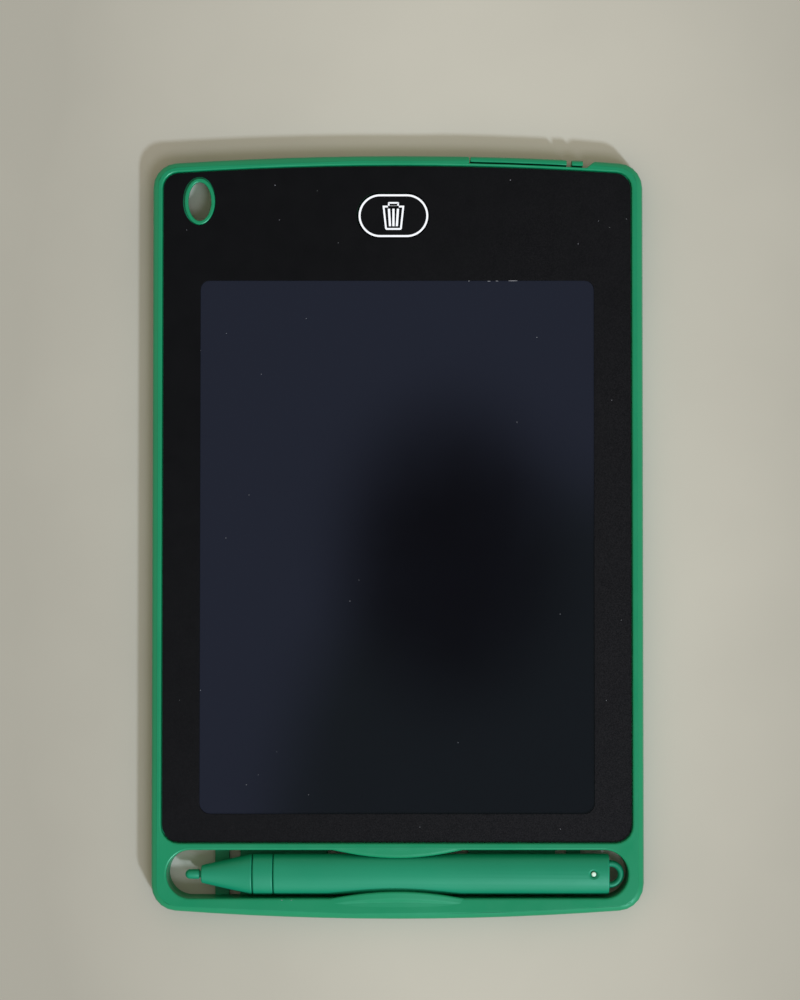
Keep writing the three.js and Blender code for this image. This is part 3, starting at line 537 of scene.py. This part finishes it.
crowned_lip("slot_lip_upper", -1, (0.0008, 0.0006), 0.0006, (-0.0001, -0.00004, 0.00003))
crowned_lip("slot_lip_lower", 1, (0.0003, 0.0003), 0.0021, (
    0.00050, 0.00047, 0.00044, 0.00041, 0.00037, 0.00022,
    0.00008, 0.00006, 0.00003, 0.00001, -0.00002,
))

# Front panel overlay
# A black printed film with a fine matte grain. A painted sheen and painted glints lighten its
# colour, more so towards its near right corner, which faces the light. It is cut out for the
# screen, the key and the lanyard hole.
panel_black = (0.0007, 0.0007, 0.0008)
panel_sheen_grey = (0.0096, 0.0092, 0.0101)
sheen_slant = -0.66
sheen_from = -0.065
sheen_to = 0.060
painted_glints_a_metre = 4200
panel_film = moulded_plastic("panel_film", panel_black, 0.5, 6000, 0.00002, 0.15)
tree = panel_film.node_tree
place = tree.nodes.new("ShaderNodeTexCoord")
spot = tree.nodes.new("ShaderNodeSeparateXYZ")
link(tree, place.outputs["Object"], spot.inputs["Vector"])
# Painted sheen and glints: the colour greys and glints more towards the corner nearest the
# light
slanted = plain_math(tree, "MULTIPLY_ADD", spot.outputs["Y"], sheen_slant, spot.outputs["X"])
painted_sheen = share_between(tree, slanted, sheen_from, sheen_to)
painted_glints = share_between(tree, object_noise(tree, painted_glints_a_metre, 2), 0.35, 0.75)
painted_glint_mask = plain_math(tree, "MULTIPLY", painted_sheen.outputs["Result"], painted_glints.outputs["Result"])
panel_sheen_tone = two_tone(tree, painted_glint_mask, panel_black, panel_sheen_grey, 0.0, 1.0)
link(tree, panel_sheen_tone, tree.nodes["skin"].inputs["Colour"])
panel = merged_copy("front_panel_overlay", "front_panel")
soften_edges(panel, 0.00006)
stand_for(panel, "front_panel_overlay", "case", panel_film)

# Screen
# A glossy film over the liquid crystal, dark with a blue cast, on a second film and a
# black backing board. A ring of white tape holds the panel over it.
screen_tint = (0.0035, 0.0036, 0.0050)
screen_gloss_tint = (0.575, 0.67, 1.0)
screen_roughness = 0.09
haze_strength = 0.08


def give_material(node_name, material):
    """Puts a material on a CAD node that is shown as it is."""
    nodes[node_name].data.materials.clear()
    nodes[node_name].data.materials.append(material)


screen_film, tree, shader = new_material("screen_film", screen_roughness)
shader.inputs["Base Color"].default_value = (*screen_tint, 1)
shader.inputs["Specular IOR Level"].default_value = 1.0
shader.inputs["Specular Tint"].default_value = (*screen_gloss_tint, 1)
sheen = plain_math(tree, "MULTIPLY", object_noise(tree, 60, 3), haze_strength)
hazy = plain_math(tree, "ADD", sheen, screen_roughness - haze_strength / 2)
link(tree, hazy, shader.inputs["Roughness"])
give_material("lcd_front_film", screen_film)
give_material("lcd_rear_film", screen_film)

backing_black = (0.012, 0.012, 0.014)
tape_white = (0.69, 0.66, 0.58)
ribbon_amber = (0.434, 0.144, 0.012)
backing_card = moulded_plastic("backing_card", backing_black, 0.7, 3000, 0.00003)
white_tape = moulded_plastic("white_tape", tape_white, 0.8, 1500, 0.00004)
amber_film = moulded_plastic("amber_film", ribbon_amber, 0.35, 2500, 0.000005)
give_material("backing_board", backing_card)
give_material("adhesive_frame", white_tape)
give_material("lcd_flex_tail", amber_film)

# Erase key
# A black key that lies level with the panel. It is pressed to clear the screen.
# Its printed ring and bin are pieces of their own.
key_cap = merged_copy("erase_key", "key_cap")
soften_edges(key_cap, 0.00006)
stand_for(key_cap, "erase_key", "key", panel_film)

# Key ring
# A white ring with two straight sides and two half-round ends, printed along the key's
# edge as a thin layer of ink.
ring_length = 0.01515
ring_width = 0.00932
ring_line = 0.00042
ink_white = (0.90, 0.93, 0.97)
ink_thickness = 0.00002
key_low, key_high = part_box("erase_key")
key_middle = Vector(((key_low.x + key_high.x) / 2, (key_low.y + key_high.y) / 2, key_high.z))
white_ink = moulded_plastic("white_ink", ink_white, 0.55, 9000, 0.000004)


def flat_shape(corners):
    """Flat face on top of the key, through corners given from the key's middle."""
    deselect()
    bpy.ops.mesh.primitive_circle_add(vertices=len(corners), radius=0.001, fill_type="NGON")
    shape = bpy.context.active_object
    for vertex, (x, y) in zip(shape.data.vertices, corners):
        vertex.co = (key_middle.x + x, key_middle.y + y, key_middle.z)
    return shape


def keep_rim(shape, line):
    """Leaves only a rim of a flat shape, one line wide."""
    bpy.ops.object.mode_set(mode="EDIT")
    bpy.ops.mesh.select_all(action="SELECT")
    bpy.ops.mesh.inset(thickness=line)
    bpy.ops.mesh.delete(type="FACE")
    bpy.ops.object.mode_set(mode="OBJECT")
    return shape


def long_ring(length, width, line):
    """Flat ring with two straight sides and two half-round ends."""
    corners = []
    steps = 40
    for side in (1, -1):
        for i in range(steps + 1):
            turn = math.pi * (i / steps - 0.5)
            x = side * ((length - width) / 2 + width / 2 * math.cos(turn))
            corners.append((x, side * width / 2 * math.sin(turn)))
    return keep_rim(flat_shape(corners), line)


def print_in_ink(shapes, name):
    """Joins flat shapes into one thin printed piece on the key."""
    deselect()
    for shape in shapes:
        shape.select_set(True)
    bpy.context.view_layer.objects.active = shapes[0]
    bpy.ops.object.join()
    print_piece = bpy.context.active_object
    print_piece.name = name
    bpy.ops.object.transform_apply(location=True, rotation=True, scale=True)
    thin = print_piece.modifiers.new("ink", "SOLIDIFY")
    thin.thickness = ink_thickness
    thin.offset = 1.0
    bpy.ops.object.modifier_apply(modifier=thin.name)
    print_piece.data.materials.append(white_ink)
    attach(print_piece, "key")


print_in_ink([long_ring(ring_length, ring_width, ring_line)], "key_ring_print")

# Key hole lining
# A thin black sheet round the inside of the key's hole, so that the gap round the key shows
# dark and no green shows there. It keeps a small gap to the key's cap all round.
cap_length = 0.01535
cap_width = 0.00952
lining_gap = 0.00023
lining_line = 0.00005
lining_depth = 0.0011
lining = long_ring(cap_length + 2 * lining_gap, cap_width + 2 * lining_gap, lining_line)
lining.name = "key_hole_lining"
bpy.ops.object.transform_apply(location=True, rotation=True, scale=True)
deep = lining.modifiers.new("turned_down", "SOLIDIFY")
deep.thickness = lining_depth
deep.offset = -1.0
bpy.ops.object.modifier_apply(modifier=deep.name)
lining.data.materials.append(panel_film)
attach(lining, "case")

# Bin
# A plain rubbish bin printed on the key: a tapered body with a lid, a handle and three
# bars. Its lengths are from the middle of the key.
bin_line = 0.00039
bin_top_half = 0.00236
bin_foot_half = 0.00178
bin_top = 0.00218
bin_foot = -0.00309
bin_foot_corner = 0.00035
handle_half = 0.00119
handle_top = 0.00297
handle_line = 0.9 * bin_line
handle_corner = 0.0002
bar_half = 0.00024
bar_top_spread = 0.00099
bar_foot_spread = 0.00074
bar_top = 0.00152
bar_foot = -0.00230


def round_corners(shape, radius, chosen):
    """Rounds the corners of a flat shape that lie where chosen says."""
    bpy.ops.object.mode_set(mode="EDIT")
    bpy.ops.mesh.select_all(action="DESELECT")
    bpy.ops.object.mode_set(mode="OBJECT")
    for vertex in shape.data.vertices:
        vertex.select = chosen(vertex.co - key_middle)
    bpy.ops.object.mode_set(mode="EDIT")
    bpy.ops.mesh.select_mode(type="VERT")
    bpy.ops.mesh.bevel(offset=radius, segments=5, affect="VERTICES")
    bpy.ops.object.mode_set(mode="OBJECT")


bin_body = flat_shape([
    (-bin_top_half, bin_top), (-bin_foot_half, bin_foot),
    (bin_foot_half, bin_foot), (bin_top_half, bin_top),
])
round_corners(bin_body, bin_foot_corner, lambda co: co.y < 0)
keep_rim(bin_body, bin_line)
handle = flat_shape([
    (-handle_half, bin_top - bin_line), (handle_half, bin_top - bin_line),
    (handle_half, handle_top), (-handle_half, handle_top),
])
round_corners(handle, handle_corner, lambda co: co.y > bin_top)
keep_rim(handle, handle_line)
bars = []
for column in (-1, 0, 1):
    top_x = column * bar_top_spread
    foot_x = column * bar_foot_spread
    bars.append(flat_shape([
        (top_x - bar_half, bar_top), (foot_x - bar_half, bar_foot),
        (foot_x + bar_half, bar_foot), (top_x + bar_half, bar_top),
    ]))
print_in_ink([bin_body, handle, *bars], "bin_print")

# Circuit board
# A small green lacquered board under the key, with a driver chip, a few tiny parts and the
# key's switch, whose white plunger the key presses.
board_green = (0.007, 0.087, 0.026)
chip_black = (0.008, 0.008, 0.009)
ceramic_tan = (0.328, 0.195, 0.091)
plunger_white = (0.69, 0.66, 0.58)
board_lacquer = moulded_plastic("board_lacquer", board_green, 0.4, 1200, 0.00001)
chip_resin = moulded_plastic("chip_resin", chip_black, 0.6, 5000, 0.00001)
ceramic = moulded_plastic("fired_ceramic", ceramic_tan, 0.55, 5000, 0.00001)
plunger_plastic = moulded_plastic("plunger_plastic", plunger_white, 0.45, 8000, 0.000005)
give_material("circuit_board", board_lacquer)
give_material("driver_chip", chip_resin)
give_material("board_capacitor_a", ceramic)
give_material("board_capacitor_b", ceramic)
give_material("board_resistor_a", chip_resin)
give_material("board_resistor_b", chip_resin)
give_material("tact_switch_body", chip_resin)
give_material("switch_plunger", plunger_plastic)

# Battery tray
# A green tray that slides in from the edge with the coin cell in it. Its springy arm
# latches it, and two plated springs meet the cell.
scratch_darkening = 0.86
scratch_dulling = 0.16


def brushed_metal(name, colour, roughness, brush):
    """Bare metal with fine scratches; brush is how many lie in a metre along each axis."""
    material, tree, shader = new_material(name, roughness, 1.0)
    place = tree.nodes.new("ShaderNodeTexCoord")
    stretch = tree.nodes.new("ShaderNodeMapping")
    stretch.inputs["Scale"].default_value = brush
    scratches = tree.nodes.new("ShaderNodeTexNoise")
    scratches.inputs["Scale"].default_value = 1.0
    scratches.inputs["Detail"].default_value = 3.0
    link(tree, place.outputs["Object"], stretch.inputs["Vector"])
    link(tree, stretch.outputs["Vector"], scratches.inputs["Vector"])
    darker = tuple(scratch_darkening * channel for channel in colour)
    brushed = two_tone(tree, scratches.outputs["Fac"], darker, colour, 0.35, 0.65)
    link(tree, brushed, shader.inputs["Base Color"])
    dulled = plain_math(tree, "MULTIPLY", scratches.outputs["Fac"], scratch_dulling)
    duller = plain_math(tree, "ADD", dulled, roughness - scratch_dulling / 2)
    link(tree, duller, shader.inputs["Roughness"])
    return material


for node_name, piece_name, body in (
    ("battery_tray", "tray_shell", "tray"),
    ("tray_latch_arm", "latch_shell", "latch"),
):
    piece = merged_copy(node_name, piece_name)
    soften_edges(piece, 0.0002, 3)
    stand_for(piece, node_name, body, front_plastic)

cell_colour = (0.552, 0.565, 0.578)
spring_colour = (0.584, 0.558, 0.468)
cell_steel = brushed_metal("cell_steel", cell_colour, 0.3, (2500, 180, 180))
spring_metal = brushed_metal("spring_metal", spring_colour, 0.3, (180, 3000, 180))
give_material("coin_cell", cell_steel)
give_material("battery_contact_upper", spring_metal)
give_material("battery_contact_lower", spring_metal)

# Stylus
# Four snap-together mouldings in a slightly bluer green: a barrel with a gate mark near
# its flat end, a collar, a tapered nose and a rounded nib.
stylus_green = (0.003, 0.228, 0.114)
stylus_plastic = moulded_plastic(
    "stylus_plastic", stylus_green, 0.5, 8000, 0.0000015, 0.6, (0.6, 1.0, 0.82)
)
barrel_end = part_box("stylus_barrel")[1]
gate_middle = Vector((0.04243, -0.07307, barrel_end.z))


def cut_ball(piece, radius, ball_radius, depth):
    """Cuts a round dimple of one radius into a piece, its ball lowered by a depth."""
    rise = math.sqrt(ball_radius ** 2 - radius ** 2)
    ball_middle = gate_middle + Vector((0, 0, rise - depth))
    deselect()
    bpy.ops.mesh.primitive_uv_sphere_add(
        segments=48, ring_count=24, radius=ball_radius, location=ball_middle,
    )
    ball = bpy.context.active_object
    deselect()
    piece.select_set(True)
    bpy.context.view_layer.objects.active = piece
    dimple = piece.modifiers.new("dimple", "BOOLEAN")
    dimple.operation = "DIFFERENCE"
    dimple.solver = "EXACT"
    dimple.object = ball
    bpy.ops.object.modifier_apply(modifier=dimple.name)
    bpy.data.objects.remove(ball)


for node_name, edge_radius in (
    ("stylus_barrel", 0.00012),
    ("stylus_collar", 0.00016),
    ("stylus_nose_cone", 0.00016),
    ("stylus_nib", 0.00012),
):
    piece = merged_copy(node_name, node_name + "_moulding")
    soften_edges(piece, edge_radius, 3)
    if node_name == "stylus_barrel":
        # The gate mark is a shallow dish with a deeper pit in it
        cut_ball(piece, 0.00125, 0.0021, 0.0)
        cut_ball(piece, 0.00085, 0.00090, 0.0002)
    stand_for(piece, node_name, "stylus", stylus_plastic)

# End loop
# The round eye for a cord at the stylus's flat end, moulded in one with the barrel, so
# that half of the ring is buried in it.
loop_hole = 0.00158
loop_low, loop_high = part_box("stylus_end_loop")
loop_middle = (loop_low + loop_high) / 2
loop_outer = (loop_high.y - loop_low.y) / 2
loop_line = (loop_outer - loop_hole) / 2
deselect()
bpy.ops.mesh.primitive_torus_add(
    major_segments=96, minor_segments=32,
    major_radius=loop_outer - loop_line, minor_radius=loop_line,
    location=(loop_high.x - loop_outer, loop_middle.y, loop_middle.z),
)
end_loop = bpy.context.active_object
end_loop.name = "end_loop_ring"
end_loop.scale.z = (loop_high.z - loop_low.z) / 2 / loop_line
bpy.ops.object.transform_apply(location=True, rotation=True, scale=True)
bpy.ops.object.shade_smooth()
stand_for(end_loop, "stylus_end_loop", "stylus", stylus_plastic)

# Gate stub
# The cut stub that the moulding gate left in the pit near the stylus's flat end, coloured pale
# as a painted highlight. Its top is level with the barrel's.
# Painted highlight: the stub's pale colour stands in for the light it reflects
stub_highlight_green = (0.62, 0.84, 0.70)
stub_radius = 0.0005
stub_height = 0.0007
stub_middle = gate_middle - Vector((0, 0, stub_height / 2))
stub_highlight_plastic = moulded_plastic("stub_highlight_plastic", stub_highlight_green, 0.5, 9000, 0.000004)
deselect()
bpy.ops.mesh.primitive_cylinder_add(
    vertices=32, radius=stub_radius, depth=stub_height, location=stub_middle,
)
gate_stub = bpy.context.active_object
gate_stub.name = "gate_stub"
bpy.ops.object.mode_set(mode="EDIT")
bpy.ops.mesh.bevel(offset=stub_radius / 3, segments=3, affect="EDGES")
bpy.ops.object.mode_set(mode="OBJECT")
bpy.ops.object.shade_smooth_by_angle(angle=smooth_below)
bpy.ops.object.transform_apply(location=True, rotation=True, scale=True)
gate_stub.data.materials.append(stub_highlight_plastic)
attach(gate_stub, "stylus")

# Dust
# Grey specks that have settled on the screen, the panel, the land and the stylus, and a thin
# grey strand along the window's top edge, each at the place where its pixel of the picture
# shows it.
dust_grey = (0.30, 0.31, 0.34)
speck_flatness = 0.03
screen_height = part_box("lcd_front_film")[1].z
barrel_dust_height = barrel_end.z - 0.0004
dust_fluff = moulded_plastic("dust_fluff", dust_grey, 0.9, 9000, 0.00001)


def settle_dust(name, specks, body, height):
    """Flattened specks as one piece, each given as pixel x and y and half sizes in mm."""
    deselect()
    settled = []
    for x, y, long, wide in specks:
        place = place_of_pixel(Vector((x, y)))
        place = lens_place + (place - lens_place) * (lens_place.z - height) / camera_height
        bpy.ops.mesh.primitive_ico_sphere_add(
            subdivisions=2, radius=0.001, location=(place.x, place.y, height),
        )
        speck = bpy.context.active_object
        speck.scale = (long, wide, speck_flatness)
        settled.append(speck)
    for speck in settled:
        speck.select_set(True)
    bpy.ops.object.join()
    dust = bpy.context.active_object
    dust.name = name
    bpy.ops.object.transform_apply(location=True, rotation=True, scale=True)
    bpy.ops.object.shade_smooth()
    dust.data.materials.append(dust_fluff)
    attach(dust, body)


settle_dust("screen_dust", (
    (306, 318, 0.08, 0.07), (226, 333, 0.06, 0.06), (200, 350, 0.08, 0.07),
    (261, 374, 0.06, 0.07), (537, 337, 0.09, 0.07), (597, 405, 0.06, 0.08),
    (517, 422, 0.07, 0.07), (249, 495, 0.08, 0.06), (226, 538, 0.07, 0.07),
    (359, 580, 0.06, 0.06), (350, 601, 0.08, 0.07), (201, 690, 0.07, 0.09),
    (277, 751, 0.06, 0.06), (247, 784, 0.07, 0.07), (259, 774, 0.06, 0.05),
    (309, 794, 0.08, 0.06), (458, 742, 0.07, 0.07), (560, 614, 0.06, 0.07),
), "case", screen_height)
settle_dust("panel_dust", (
    (510.6, 178.8, 0.09, 0.08), (599, 220, 0.06, 0.06), (279, 219, 0.06, 0.06),
    (274.5, 184, 0.09, 0.10), (317, 189.5, 0.07, 0.06), (610, 226.5, 0.08, 0.06),
    (578.5, 243, 0.08, 0.08), (627, 218, 0.06, 0.06), (186, 229, 0.06, 0.06),
    (338, 242, 0.06, 0.06), (612, 400, 0.06, 0.07), (621, 620, 0.07, 0.06),
    (606, 700, 0.06, 0.06), (420, 826, 0.07, 0.06), (560, 828, 0.07, 0.07),
    (180, 700, 0.05, 0.05), (469, 280.4, 0.20, 0.05), (489, 280.6, 0.35, 0.05),
    (497, 280.4, 0.30, 0.05), (513, 280.2, 1.10, 0.06),
), "case", panel_height)
settle_dust("land_dust", (
    (282.5, 898.6, 0.10, 0.10), (292, 898.5, 0.10, 0.06),
), "case", land_height)
settle_dust("stylus_dust", (
    (280, 864.6, 0.12, 0.15), (281, 865.6, 0.08, 0.08),
), "stylus", barrel_dust_height)
